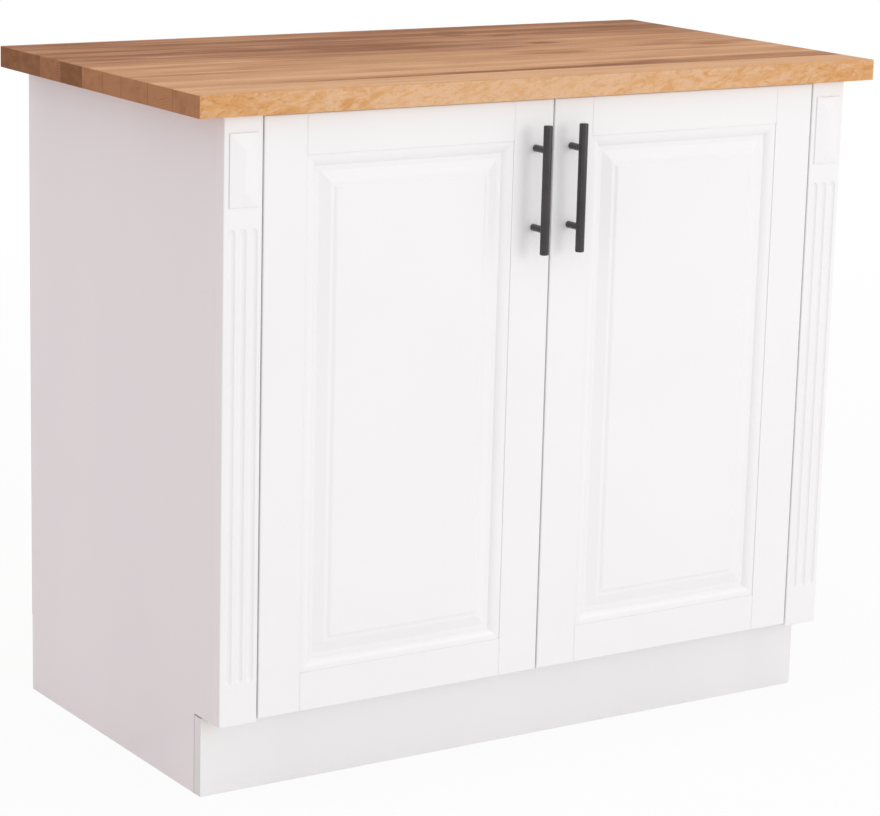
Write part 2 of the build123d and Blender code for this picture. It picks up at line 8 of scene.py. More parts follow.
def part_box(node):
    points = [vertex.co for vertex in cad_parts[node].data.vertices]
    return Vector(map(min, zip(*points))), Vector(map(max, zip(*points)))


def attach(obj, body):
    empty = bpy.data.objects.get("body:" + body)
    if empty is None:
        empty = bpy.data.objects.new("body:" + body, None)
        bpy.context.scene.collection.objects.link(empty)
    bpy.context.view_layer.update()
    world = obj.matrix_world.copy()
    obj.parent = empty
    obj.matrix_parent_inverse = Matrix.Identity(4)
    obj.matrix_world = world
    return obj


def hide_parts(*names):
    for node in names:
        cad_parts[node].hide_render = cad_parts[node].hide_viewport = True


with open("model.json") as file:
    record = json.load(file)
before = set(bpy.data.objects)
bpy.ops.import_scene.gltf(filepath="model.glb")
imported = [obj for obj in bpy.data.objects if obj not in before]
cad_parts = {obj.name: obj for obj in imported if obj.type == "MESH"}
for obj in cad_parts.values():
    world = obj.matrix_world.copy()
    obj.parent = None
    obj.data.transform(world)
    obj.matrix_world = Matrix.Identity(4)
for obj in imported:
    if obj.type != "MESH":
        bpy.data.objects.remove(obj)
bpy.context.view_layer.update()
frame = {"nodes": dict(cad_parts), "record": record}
print("frame loaded:", len(frame["nodes"]), "nodes")


class Wire:  # one socket of a shader tree, and the sums that are done on it
    def __init__(self, tree, socket=None):
        self.tree = tree
        self.socket = socket

    def node(self, kind, settings=None, values=None, out=0):
        made = self.tree.nodes.new("ShaderNode" + kind)
        for name, value in (settings or {}).items():
            if name == "stops":
                ramp = made.color_ramp.elements
                while len(ramp) < len(value):
                    ramp.new(1)
                for element, (position, colour) in zip(ramp, value):
                    element.position = position
                    element.color = (*colour, 1)
            else:
                setattr(made, name, value)
        for name, value in (values or {}).items():
            if isinstance(value, Wire):
                self.tree.links.new(value.socket, made.inputs[name])
            else:
                made.inputs[name].default_value = value
        return Wire(self.tree, made.outputs[out] if made.outputs else None)

    def outs(self, *names):  # several outputs of the same node
        return [Wire(self.tree, self.socket.node.outputs[name]) for name in names]

    def reckon(self, operation, *values):
        return self.node("Math", {"operation": operation}, dict(enumerate(values)))

    def __add__(self, other):
        return self.reckon("ADD", self, other)

    def __radd__(self, other):
        return self.reckon("ADD", other, self)

    def __sub__(self, other):
        return self.reckon("SUBTRACT", self, other)

    def __rsub__(self, other):
        return self.reckon("SUBTRACT", other, self)

    def __mul__(self, other):
        return self.reckon("MULTIPLY", self, other)

    def __rmul__(self, other):
        return self.reckon("MULTIPLY", other, self)

    def __truediv__(self, other):
        return self.reckon("DIVIDE", self, other)

    def __rtruediv__(self, other):
        return self.reckon("DIVIDE", other, self)

    def __gt__(self, other):
        return self.reckon("GREATER_THAN", self, other)

    def root(self):
        return self.reckon("SQRT", self)

    def fraction(self):
        return self.reckon("FRACT", self)

    def absolute(self):
        return self.reckon("ABSOLUTE", self)

    def least(self, other):
        return self.reckon("MINIMUM", self, other)

    def most(self, other):
        return self.reckon("MAXIMUM", self, other)


def newFinish(name):
    material = bpy.data.materials.new(name)
    material.use_nodes = True
    material.node_tree.nodes.clear()
    # the place on the object, in metres, and the way that the surface faces
    place, facing = Wire(material.node_tree).node("TexCoord").outs("Object", "Normal")
    return material, place, facing


def along(place, stretch):  # squeezes a pattern's place, so that the pattern stretches
    return place.node("Mapping", None, {"Vector": place, "Scale": stretch})


def noise(place, size, detail=2, roughness=0.5, wobble=0):  # size is a blotch's, in metres
    values = {"Vector": place, "Scale": 1 / size, "Detail": detail}
    values.update({"Roughness": roughness, "Distortion": wobble})
    return place.node("TexNoise", None, values)


def figure(place, stretch, detail, roughness, wobble=0):  # a noise that is stretched
    return noise(along(place, stretch), 1.0, detail, roughness, wobble)


def between(value, low, high, lowTo=0, highTo=1):  # a soft step
    values = {"Value": value, "From Min": low, "From Max": high, "To Min": lowTo, "To Max": highTo}
    return value.node("MapRange", {"interpolation_type": "SMOOTHSTEP"}, values)


def blend(first, second, share):  # the Mix node's colours are its sockets 6 and 7
    start = share if isinstance(share, Wire) else first
    colours = {0: share, 6: first, 7: second}
    for key in (6, 7):
        if isinstance(colours[key], tuple):
            colours[key] = (*colours[key], 1)
    return start.node("Mix", {"data_type": "RGBA"}, colours, out=2)


def parts(vector):
    return vector.node("SeparateXYZ", None, {"Vector": vector}).outs("X", "Y", "Z")


def finishOff(material, start, height, deep, values, edge=0):
    # height is a bump 0 to 1 and deep its depth in metres; edge is the radius of softened corners
    bump = {"Height": height, "Distance": deep, "Strength": 1.0}
    if edge:
        bump["Normal"] = start.node("Bevel", {"samples": 4}, {"Radius": edge})
    values["Normal"] = start.node("Bump", None, bump)
    shader = start.node("BsdfPrincipled", None, values)
    start.node("OutputMaterial", None, {"Surface": shader})
    return material


# How far a face has to turn towards an axis to count as an end or an uncovered edge
endFacing = (0.6, 0.9)
rawFacing = (0.8, 0.95)

oak = {
    # glue lines, behind the worktop's front, and the staves' tones: 0 pale to 1 brown
    "lines": (0.06445, 0.12455, 0.19165, 0.23805, 0.29325, 0.35035, 0.40875, 0.46905),
    "tones": (0.2, 0.36, 0.4, 0.47, 0.5, 0.6, 0.76, 0.84, 0.78),
    "endTones": (0.15, 0.05, 0.15, 0.05, 0.2, 1.0, 0.5, 0.85, 0.88),
    # where each stave's pith lies: beside its middle and under it
    "pithSide": (0.045, -0.03, 0.05, -0.055, 0.03, 0.06, -0.04, 0.05, -0.03),
    "pithDrop": (0.05, 0.085, 0.04, 0.06, 0.1, 0.045, 0.07, 0.05, 0.08),
    "staveShift": 0.37,  # how far along each stave's figure starts after its neighbour's
    # the wood's patterns: stretch along X, Y and Z, detail, roughness, wobble
    "wander": ((1.4, 9, 9), 2, 0.5),
    "curl": ((9, 45, 45), 3, 0.55),
    "ragged": ((4, 130, 130), 2, 0.6),
    "soft": ((9, 60, 60), 3, 0.6),
    "streak": ((1.1, 38, 38), 4, 0.6),
    "strand": ((2.5, 150, 150), 3, 0.6),
    "fine": ((14, 700, 700), 3, 0.6),
    "cloud": ((4.5, 14, 14), 3, 0.55, 0.4),
    "pore": ((170, 2300, 2300), 1, 0.5),
    "vein": ((1.0, 62, 62), 3, 0.5, 0.4),
    "mottle": ((30, 60, 70), 5, 0.64, 1.6),
    "ripple": ((17, 60, 130), 4, 0.6, 1.1),
    "specks": ((100, 60, 190), 3, 0.6, 0.9),
    "ray": ((30, 1500, 160), 2, 0.5),
    "rough": ((30, 60, 95), 3, 0.6),
    "smudge": (0.09, 3, 0.55),
    # growth rings; a step gives the two values between which something fades in
    "ring": 0.0034,
    "ringWander": 0.022,
    "ringCurl": 0.0035,
    "lateWood": (0.45, 0.92),
    "ringEnd": (0.93, 1.0),
    # colours, with the tones of the first three
    "shades": ((0.1, (0.7, 0.4, 0.215)), (0.5, (0.545, 0.275, 0.14)), (1.0, (0.262, 0.103, 0.044))),
    "line": (0.16, 0.065, 0.035),
    "endPale": (0.445, 0.205, 0.105),
    "endDark": (0.23, 0.1, 0.049),
    "olive": (0.49, 0.31, 0.12),
    "sapPale": (0.79, 0.5, 0.3),
    "sapGold": (0.72, 0.37, 0.145),
    "sapRust": (0.56, 0.22, 0.07),
    # how much each pattern changes the tone of the top
    "streakShare": 1.25,
    "cloudShare": 0.8,
    "ringShare": 0.16,
    "fineShare": 0.25,
    "veinStep": (0.64, 0.76),
    "veinShare": 0.4,
    "poreStep": (0.62, 0.72),
    "poreInRing": (1.0, 0.2, 0.35, 1.0),
    "poreShare": 0.3,
    # heartwood and knots: X, distance behind the front, half length, half width, strength
    "marks": (
        (-0.088, 0.352, 0.22, 0.052, 0.34),
        (-0.061, 0.337, 0.085, 0.03, 0.4),
        (-0.018, 0.318, 0.045, 0.008, 0.5),
        (-0.355, 0.37, 0.022, 0.0045, 0.6),
        (-0.321, 0.376, 0.018, 0.0045, 0.6),
        (-0.448, 0.342, 0.07, 0.01, 0.35),
        (0.139, 0.465, 0.024, 0.011, 0.3),
        (0.125, 0.43, 0.02, 0.009, 0.28),
        (0.185, 0.408, 0.022, 0.013, 0.36),
        (0.19, 0.313, 0.022, 0.013, 0.36),
        (0.139, 0.22, 0.055, 0.022, 0.34),
        (0.412, 0.228, 0.038, 0.014, 0.32),
        (0.28, 0.403, 0.065, 0.012, 0.22),
        (-0.4, 0.172, 0.1, 0.008, 0.22),
    ),
    "oliveMark": (-0.125, 0.225, 0.09, 0.05, 0.3),
    "markWander": 0.01,
    "markCurl": 0.016,
    "markRagged": 2.6,
    "markSoft": 1.4,
    "markStep": (1.9, -0.2),
    "strandStep": (0.36, 0.6, 0.35, 1.45),  # dark strands run through the marks
    # the dark streak behind the first glue line
    "streakEnds": (-0.43, -0.28),  # it fades in over these
    "streakWiden": (-0.25, 0.42),
    "streakWide": (0.009, 0.05),
    "streakCurl": 1.2,
    "streakStep": (1.2, 0.45),
    "streakTone": 0.5,
    # the front edge
    "figureLean": 0.3,  # its figure rises to the right
    "edgeFacing": (0.5, 0.9),
    "leftEnd": (0.16, 0.46),  # towards its ends it turns golden
    "rightEnd": (0.0, 0.52),
    "goldLeast": 0.1,
    "goldAtEnds": 0.7,
    "goldMottle": 4.0,
    "goldRipple": 2.2,
    "speckStep": (0.53, 0.7),
    "speckShare": (0.5, 0.2),  # what the ends add, and the least
    "rustStep": (0.54, 0.72),
    "rustShare": (0.5, 0.06),
    "outerStep": (0.034, 0.004),  # behind the front
    "outerShare": 0.38,
    "edgeShare": 0.52,
    # the end grain and the glue lines
    "endRing": 0.35,
    "endRough": 1.3,
    "endRay": 0.35,
    "glueStep": (0.00085, 0.0002),
    "glueShare": (0.25, 0.35),  # what the end grain adds, and the least
    # the oiled surface
    "roughness": 0.58,
    "smudgeRough": 0.14,
    "poreRough": 0.15,
    "ringRough": -0.05,
    "endRougher": 0.12,
    "gloss": 0.04,
    "ior": 1.45,
    "relief": 0.00022,
    "level": 0.75,
    "ringRise": 0.12,
    "poreDrop": 0.5,
    "glueDrop": 0.35,
    "fineRise": 0.25,
}


def oakStaves():
    material, place, facing = newFinish("oiledOakStaves")
    x, y, z = parts(place)
    nx, ny, _ = parts(facing)
    low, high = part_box("worktop")
    lines = [low.y + line for line in oak["lines"]]
    past = [y > line for line in lines]

    def perStave(values):  # a value that changes at each glue line
        total = past[0] * (values[1] - values[0]) + values[0]
        for crossed, (before, after) in zip(past[1:], zip(values[1:], values[2:])):
            total = total + crossed * (after - before)
        return total

    edges = (low.y, *lines, high.y)
    middles = [(fore + aft) / 2 for fore, aft in zip(edges, edges[1:])]
    pithY = perStave([middle + aside for middle, aside in zip(middles, oak["pithSide"])])
    pithZ = perStave([(low.z + high.z) / 2 - drop for drop in oak["pithDrop"]])
    tone = perStave(oak["tones"])
    # each stave is cut from another board
    shift = perStave([oak["staveShift"] * n for n in range(len(middles))])
    moved = place.node("CombineXYZ", None, {"X": x + shift, "Y": y, "Z": z})

    # growth rings round each stave's pith, wandering slowly along the stave
    wander = figure(moved, *oak["wander"]) - 0.5
    curl = figure(moved, *oak["curl"]) - 0.5
    fromPithY = y - pithY
    fromPithZ = z - pithZ
    reach = (fromPithY * fromPithY + fromPithZ * fromPithZ).root()
    strayed = reach + wander * oak["ringWander"] + curl * oak["ringCurl"]
    ringWave = (strayed / oak["ring"]).fraction()
    lateWood = between(ringWave, *oak["lateWood"]) * (1 - between(ringWave, *oak["ringEnd"]))

    # marks whose ends run out along the grain
    ragged = figure(moved, *oak["ragged"]) - 0.5
    soft = figure(moved, *oak["soft"]) - 0.5
    markY = y + wander * oak["markWander"] + curl * oak["markCurl"]

    def markAt(mark):
        centreX, behind, halfLong, halfWide, strength = mark
        aside = (x - centreX) / halfLong + ragged * oak["markRagged"]
        across = (markY - (low.y + behind)) / halfWide
        spread = aside * aside + across * across + soft * oak["markSoft"]
        return between(spread, *oak["markStep"]) * strength

    dark = markAt(oak["marks"][0])
    for mark in oak["marks"][1:]:
        dark = dark + markAt(mark)
    wide = between(x, *oak["streakWiden"], *oak["streakWide"])
    streakBack = between((y - lines[0]) / wide + curl * oak["streakCurl"], *oak["streakStep"])
    streakMask = past[0] * streakBack * between(x, *oak["streakEnds"])
    strand = figure(moved, *oak["strand"])
    dark = dark * between(strand, *oak["strandStep"]) + streakMask * oak["streakTone"]

    # the tone of the top
    streak = figure(moved, *oak["streak"])
    fine = figure(moved, *oak["fine"])
    cloud = figure(moved, *oak["cloud"])
    shade = (
        tone
        + (streak - 0.5) * oak["streakShare"]
        + (cloud - 0.5) * oak["cloudShare"]
        + (lateWood - 0.3) * oak["ringShare"]
        + (fine - 0.5) * oak["fineShare"]
        + dark
    )
    colour = shade.node("ValToRGB", {"stops": oak["shades"]}, {"Fac": shade})
    colour = blend(colour, oak["olive"], markAt(oak["oliveMark"]))
    veins = between(figure(moved, *oak["vein"]), *oak["veinStep"])
    colour = blend(colour, oak["line"], veins * oak["veinShare"])

    # the front stave is paler and yellower towards its outer edge, which shows a mottled figure
    onEdge = between(0 - ny, *oak["edgeFacing"])
    leaning = place.node("CombineXYZ", None, {"X": x, "Y": y, "Z": z - x * oak["figureLean"]})
    mottle = figure(place, *oak["mottle"])
    ripple = figure(leaning, *oak["ripple"])
    specks = figure(leaning, *oak["specks"])
    nearEnd = between(0 - x, *oak["leftEnd"]).most(between(x, *oak["rightEnd"]))
    gold = (
        nearEnd * oak["goldAtEnds"]
        + (mottle - 0.5) * oak["goldMottle"]
        + (ripple - 0.5) * oak["goldRipple"]
        + oak["goldLeast"]
    )
    golden = blend(oak["sapPale"], oak["sapGold"], gold)

    def fleck(pattern, key):  # stronger near the worktop's ends
        atEnds, least = oak[key + "Share"]
        return between(pattern, *oak[key + "Step"]) * (nearEnd * atEnds + least)

    golden = blend(golden, oak["sapRust"], fleck(specks, "speck") + fleck(mottle, "rust"))
    outer = between(y, *[low.y + behind for behind in oak["outerStep"]])
    colour = blend(colour, golden, outer * oak["outerShare"] + onEdge * oak["edgeShare"])

    # end grain: browner, with the rings as arcs and pale rays across them
    onEnd = between(nx.absolute(), *endFacing)
    endTone = (
        perStave(oak["endTones"])
        + (lateWood - 0.4) * oak["endRing"]
        + (figure(moved, *oak["rough"]) - 0.5) * oak["endRough"]
        + (figure(moved, *oak["ray"]) - 0.5) * oak["endRay"]
    )
    colour = blend(colour, blend(oak["endPale"], oak["endDark"], endTone), onEnd)

    # pores and glue lines
    pores = between(figure(moved, *oak["pore"]), *oak["poreStep"])
    pores = pores * between(lateWood, *oak["poreInRing"])
    colour = blend(colour, oak["line"], pores * oak["poreShare"])
    gap = (y - lines[0]).absolute()
    for line in lines[1:]:
        gap = gap.least((y - line).absolute())
    glue = between(gap, *oak["glueStep"])
    glueAtEnd, glueOnTop = oak["glueShare"]
    colour = blend(colour, oak["line"], glue * (onEnd * glueAtEnd + glueOnTop))

    smudge = noise(place, *oak["smudge"])
    roughness = (
        oak["roughness"]
        + (smudge - 0.5) * oak["smudgeRough"]
        + pores * oak["poreRough"]
        + lateWood * oak["ringRough"]
        + onEnd * oak["endRougher"]
    )
    height = (
        oak["level"]
        + lateWood * oak["ringRise"]
        - pores * oak["poreDrop"]
        - glue * oak["glueDrop"]
        + (fine - 0.5) * oak["fineRise"]
    )
    values = {"Base Color": colour, "Roughness": roughness, "IOR": oak["ior"]}
    values["Specular IOR Level"] = oak["gloss"]
    return finishOff(material, place, height, oak["relief"], values)


melamine = {
    # pairs of tints that drift into one another
    "inner": ((0.885, 0.87, 0.872), (0.865, 0.852, 0.855)),
    "outer": ((0.823, 0.741, 0.764), (0.805, 0.728, 0.75)),  # painted shade: the side panels' outer faces are darker and lean to pink
    "plinth": ((0.91, 0.895, 0.897), (0.89, 0.877, 0.88)),
    "plinthEnd": ((0.79, 0.71, 0.73), (0.715, 0.69, 0.665)),  # painted shade: darker end tints, towards the top and the floor
    "plinthEndFade": (0.085, 0.03),
    # painted shadow: the dark line in the seam behind the plinth's ends
    "joint": (0.3, 0.25, 0.27),
    "seamShadowWide": 0.0013,
    "inwards": (-0.1, -0.3),  # X times the face's own X: below 0 on the faces inside
    # the pressed chips of an uncovered edge
    "chipPale": (0.62, 0.44, 0.26),
    "chipDark": (0.3, 0.17, 0.08),
    "chipStretch": (1, 1, 2.2),
    "chipScale": 420.0,
    "chipStep": (0.25, 0.95),
    "chipRough": 0.35,
    "chipRise": 2,
    # the white film: sizes of its patterns, detail, roughness
    "pearl": (0.0011, 2, 0.6),
    "drift": (0.16, 3, 0.5),
    "driftStretch": (1, 1, 0.35),
    "handled": (0.05, 3, 0.6),
    "wornStep": (0.35, 0.68),
    "pearlDeep": 0.00004,
    "pearlRough": 0.08,
    "handledRough": 0.1,
    "roughness": 0.46,
    "softEdge": 0.0006,
    "ior": 1.48,
}


def boardFinish(name, tints, rawEdges=False, jointAt=None):
    # rawEdges: the uncovered edges, at the foot and the back, show the pressed chips
    # jointAt: the plane behind the plinth, where its ends meet the side panels
    material, place, facing = newFinish(name)
    pearl = noise(place, *melamine["pearl"])
    drift = noise(along(place, melamine["driftStretch"]), *melamine["drift"])
    handled = noise(place, *melamine["handled"])
    worn = between(drift, *melamine["wornStep"])
    colour = blend(*melamine[tints], worn)
    roughness = (
        melamine["roughness"]
        + (handled - 0.5) * melamine["handledRough"]
        + (pearl - 0.5) * melamine["pearlRough"]
    )
    height = pearl * 0.8 + drift * 0.2
    if jointAt is not None:
        _, y, z = parts(place)
        onEnd = between(parts(facing)[0].absolute(), *endFacing)
        # painted shade: the plinth's ends are darker and pinkish, greyer towards the floor
        endTint = blend(*melamine["plinthEnd"], between(z, *melamine["plinthEndFade"]))
        # painted shadow: a dark line along the seam at the back of the plinth's end faces
        joint = between(y, jointAt - melamine["seamShadowWide"], jointAt - melamine["seamShadowWide"] / 3)
        colour = blend(colour, blend(endTint, melamine["joint"], joint), onEnd)
    if rawEdges:
        nx, ny, nz = parts(facing)
        inwards = between(parts(place)[0] * nx, *melamine["inwards"])
        colour = blend(colour, blend(*melamine["inner"], worn), inwards)
        raw = between(0 - nz, *rawFacing).most(between(ny, *rawFacing))
        values = {"Vector": along(place, melamine["chipStretch"]), "Scale": melamine["chipScale"]}
        chips = place.node("TexVoronoi", {"feature": "F1"}, values, 1)
        chipTone = parts(chips)[0]
        chipShare = between(chipTone, *melamine["chipStep"])
        colour = blend(colour, blend(melamine["chipPale"], melamine["chipDark"], chipShare), raw)
        roughness = roughness + raw * melamine["chipRough"]
        height = height + raw * chipTone * melamine["chipRise"]
    values = {"Base Color": colour, "Roughness": roughness, "IOR": melamine["ior"]}
    return finishOff(material, place, height, melamine["pearlDeep"], values, melamine["softEdge"])


paint = {
    "colour": (0.93, 0.915, 0.918),
    "patched": (0.905, 0.892, 0.893),
    # painted shade: the colour of the darkened grooves
    "grooveShadeColour": (0.8, 0.775, 0.77),
    "grooveReach": 0.012,
    "grooveStep": (0.9, 0.35),
    # painted shade in the grooves lies only in the doors' mouldings: distances from the cabinet's
    # middle
    "fieldFrom": (0.006, 0.014),
    "fieldTo": (0.394, 0.386),
    "grooveShadeLeast": 0.35,
    "grooveShadeRubbed": 0.5,
    "grooveShadeShare": 0.4,
    "grooveShadeRough": 0.12,
    "onSide": (0.43, 0.447),  # X times the face's own X, on the pilasters' outer sides
    # patterns: size, detail, roughness
    "peel": (0.0032, 2, 0.45),
    "grain": (0.0007, 1, 0.5),
    "patches": (0.22, 3, 0.5),
    "rubbed": (0.035, 3, 0.55),
    "patchStep": (0.35, 0.7),
    "patchShare": 0.5,
    "roughness": 0.4,
    "rubbedRough": 0.1,
    "patchRough": 0.06,
    "peelDeep": 0.00003,
    "softEdge": 0.0007,
    "ior": 1.47,
}


def satinPaint(name, edge):
    material, place, facing = newFinish(name)
    peel = noise(place, *paint["peel"])
    grain = noise(place, *paint["grain"])
    patches = noise(place, *paint["patches"])
    rubbed = noise(place, *paint["rubbed"])
    # painted shade: the paint darkens where ambient occlusion finds a narrow groove, varied by the
    # rubbed pattern
    openness = place.node("AmbientOcclusion", {"samples": 6}, {"Distance": paint["grooveReach"]}, 1)
    rubbedGrooveShade = paint["grooveShadeLeast"] + rubbed * paint["grooveShadeRubbed"]
    grooveShade = between(openness, *paint["grooveStep"]) * rubbedGrooveShade
    patchShare = between(patches, *paint["patchStep"]) * paint["patchShare"]
    colour = blend(paint["colour"], paint["patched"], patchShare)
    x = parts(place)[0]
    nx = parts(facing)[0]
    fromMiddle = x.absolute()
    inField = between(fromMiddle, *paint["fieldFrom"]) * between(fromMiddle, *paint["fieldTo"])
    # painted shade: the pilasters' outer sides take the side panels' darker, pinkish tint
    colour = blend(colour, melamine["outer"][0], between(x * nx, *paint["onSide"]))
    # painted shade darkens the grooves of the doors' mouldings
    colour = blend(colour, paint["grooveShadeColour"], grooveShade * inField * paint["grooveShadeShare"])
    roughness = (
        paint["roughness"]
        + (rubbed - 0.5) * paint["rubbedRough"]
        + (patches - 0.5) * paint["patchRough"]
        + grooveShade * paint["grooveShadeRough"]
    )
    values = {"Base Color": colour, "Roughness": roughness, "IOR": paint["ior"]}
    return finishOff(material, place, peel * 0.75 + grain * 0.25, paint["peelDeep"], values, edge)


fibre = {
    "brown": (0.36, 0.235, 0.14),
    "pale": (0.5, 0.355, 0.225),
    "white": (0.86, 0.83, 0.83),
    "outside": (-0.5, 0.5),
    "fleckStretch": (1, 1, 1.6),
    "flecks": (0.0022, 4, 0.7, 0.5),
    "cloud": (0.12, 4, 0.6),
    "strands": ((60, 60, 900), 3, 0.6, 0.8),
    "fleckShare": 1.1,
    "cloudShare": 0.7,
    "strandShare": 0.5,
    "tone": 0.45,
    "roughness": 0.42,
    "bareRough": 0.25,
    "cloudRough": 0.12,
    "relief": 0.00006,
    "softEdge": 0.0004,
}


def hardboardFinish():  # white film inside, bare pressed fibre outside
    material, place, facing = newFinish("pressedFibreBack")
    outside = between(parts(facing)[1], *fibre["outside"])
    flecks = noise(along(place, fibre["fleckStretch"]), *fibre["flecks"])
    cloud = noise(place, *fibre["cloud"])
    strands = figure(place, *fibre["strands"])
    tone = (
        (flecks - 0.5) * fibre["fleckShare"]
        + (cloud - 0.5) * fibre["cloudShare"]
        + (strands - 0.5) * fibre["strandShare"]
        + fibre["tone"]
    )
    colour = blend(fibre["white"], blend(fibre["brown"], fibre["pale"], tone), outside)
    roughness = (
        fibre["roughness"]
        + outside * fibre["bareRough"]
        + (cloud - 0.5) * fibre["cloudRough"]
    )
    values = {"Base Color": colour, "Roughness": roughness}
    height = flecks * 0.6 + strands * 0.4
    return finishOff(material, place, height, fibre["relief"], values, fibre["softEdge"])


metals = {
    # dark tint, light tint, roughness
    "handle": ((0.04, 0.035, 0.037), (0.06, 0.053, 0.056), 0.34),
    "nickel": ((0.66, 0.635, 0.6), (0.74, 0.72, 0.69), 0.26),
    "zinc": ((0.62, 0.64, 0.66), (0.73, 0.72, 0.68), 0.33),
    "handleMetal": 0.35,
    "handleGloss": 0.5,
    "handleSpeck": (0.0006, 2, 0.6),
    "handlePatch": (0.02, 3, 0.55),
    "platePatch": (0.012, 3, 0.55),
    "patchStep": (0.3, 0.7),
    "patchRough": 0.12,
    "speckRough": 0.08,
    "drawnRough": 0.18,
    "relief": 0.00003,
    "softEdge": 0.0002,
}


def handleCoat():
    material, place, _ = newFinish("blackHandleCoat")
    speck = noise(place, *metals["handleSpeck"])
    patch = noise(place, *metals["handlePatch"])
    dark, light, rough = metals["handle"]
    colour = blend(dark, light, between(patch, *metals["patchStep"]) * 0.6 + speck * 0.4)
    roughness = rough + (patch - 0.5) * metals["patchRough"] + (speck - 0.5) * metals["speckRough"]
    values = {"Base Color": colour, "Roughness": roughness, "Metallic": metals["handleMetal"]}
    values["Specular IOR Level"] = metals["handleGloss"]
    return finishOff(material, place, speck, metals["relief"], values)


def platedMetal(name, key, brush):
    material, place, _ = newFinish(name)
    drawn = figure(place, brush, 3, 0.6)
    patch = noise(place, *metals["platePatch"])
    dark, light, rough = metals[key]
    colour = blend(dark, light, between(patch, *metals["patchStep"]) * 0.7 + (drawn - 0.5) * 0.5)
    roughness = rough + (drawn - 0.5) * metals["drawnRough"] + (patch - 0.5) * metals["patchRough"]
    values = {"Base Color": colour, "Metallic": 1.0, "Roughness": roughness}
    height = drawn * 0.6 + patch * 0.4
    return finishOff(material, place, height, metals["relief"], values, metals["softEdge"])


plastics = {
    # tint, second tint, roughness, how much light goes through
    "bracket": ((0.58, 0.58, 0.58), (0.52, 0.525, 0.53), 0.55, 0.0),
    "pad": ((0.86, 0.86, 0.84), (0.8, 0.8, 0.78), 0.28, 0.55),
    "fine": (0.0009, 2, 0.6),
    "patch": (0.015, 3, 0.5),
    "patchStep": (0.35, 0.7),
    "patchRough": 0.12,
    "relief": 0.00004,
    "softEdge": 0.0003,
}


def plasticFinish(name, key):
    material, place, _ = newFinish(name)
    colour, speckled, rough, through = plastics[key]
    fine = noise(place, *plastics["fine"])
    patch = noise(place, *plastics["patch"])
    share = between(patch, *plastics["patchStep"]) * 0.7 + (fine - 0.5) * 0.4
    tint = blend(colour, speckled, share)
    roughness = rough + (patch - 0.5) * plastics["patchRough"]
    values = {"Base Color": tint, "Roughness": roughness, "Transmission Weight": through}
    return finishOff(material, place, fine, plastics["relief"], values, plastics["softEdge"])


beech = {
    "pale": (0.62, 0.4, 0.22),
    "dark": (0.5, 0.29, 0.14),
    "streak": ((30, 700, 700), 3, 0.6),
    "fleck": ((300, 2500, 2500), 2, 0.5),
    "streakStep": (0.3, 0.7),
    "fleckShare": 0.5,
    "roughness": 0.6,
    "streakRough": 0.15,
    "relief": 0.0001,
}


def beechFinish():
    material, place, _ = newFinish("beechDowels")
    streak = figure(place, *beech["streak"])
    fleck = figure(place, *beech["fleck"])
    tone = between(streak, *beech["streakStep"]) + (fleck - 0.5) * beech["fleckShare"]
    colour = blend(beech["pale"], beech["dark"], tone)
    roughness = beech["roughness"] + (streak - 0.5) * beech["streakRough"]
    values = {"Base Color": colour, "Roughness": roughness}
    return finishOff(material, place, streak, beech["relief"], values)


whitePaint = satinPaint("satinWhitePaint", paint["softEdge"])
thickPaint = satinPaint("thickWhitePaint", 0)
whiteBoard = boardFinish("whiteMelamine", "inner")
# painted shade: the side panels' outer faces get the darker, pinkish tint
whitePanel = boardFinish("whiteMelamineRawEdges", "outer", rawEdges=True)
whitePlinth = boardFinish("whitePlinth", "plinth", jointAt=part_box("plinth")[1].y)
blackCoat = handleCoat()
zincPlate = platedMetal("zincPlate", "zinc", (1200, 1200, 300))
clearPad = plasticFinish("clearPad", "pad")
slotFinish = {
    "oak_worktop": oakStaves(),
    "white_front": whitePaint,
    "white_board": whiteBoard,
    "hardboard": hardboardFinish(),
    "dark_handle": blackCoat,
    "nickel": platedMetal("nickelPlate", "nickel", (900, 900, 90)),
    "zinc_screw": zincPlate,
    "grey_plastic": plasticFinish("greyBracketPlastic", "bracket"),
    "soft_pad": clearPad,
    "beech": beechFinish(),
}
nodeFinish = {"side_panel_left": whitePanel, "side_panel_right": whitePanel, "plinth": whitePlinth}
for subpart in frame["record"]["subparts"]:
    node = frame["nodes"][subpart["node"]]
    finish = nodeFinish.get(subpart["node"], slotFinish[subpart["material_slot"]])
    for slot in node.material_slots:
        slot.material = finish
print("finishes set")

weld = 1e-6  # points this close are one point


def islands(name):  # the boxes of a CAD node's separate solids
    copy = bmesh.new()
    copy.from_mesh(frame["nodes"][name].data)
    bmesh.ops.remove_doubles(copy, verts=copy.verts, dist=weld)
    left = set(copy.verts)
    found = []
    while left:
        queue = [left.pop()]
        members = []
        while queue:
            vert = queue.pop()
            members.append(vert.co.copy())
            for edge in vert.link_edges:
                other = edge.other_vert(vert)
                if other in left:
                    left.remove(other)
                    queue.append(other)
        low = Vector([min(co[n] for co in members) for n in range(3)])
        high = Vector([max(co[n] for co in members) for n in range(3)])
        found.append((low, high))
    copy.free()
    return sorted(found, key=lambda box: [round(c, 5) for c in box[0]])


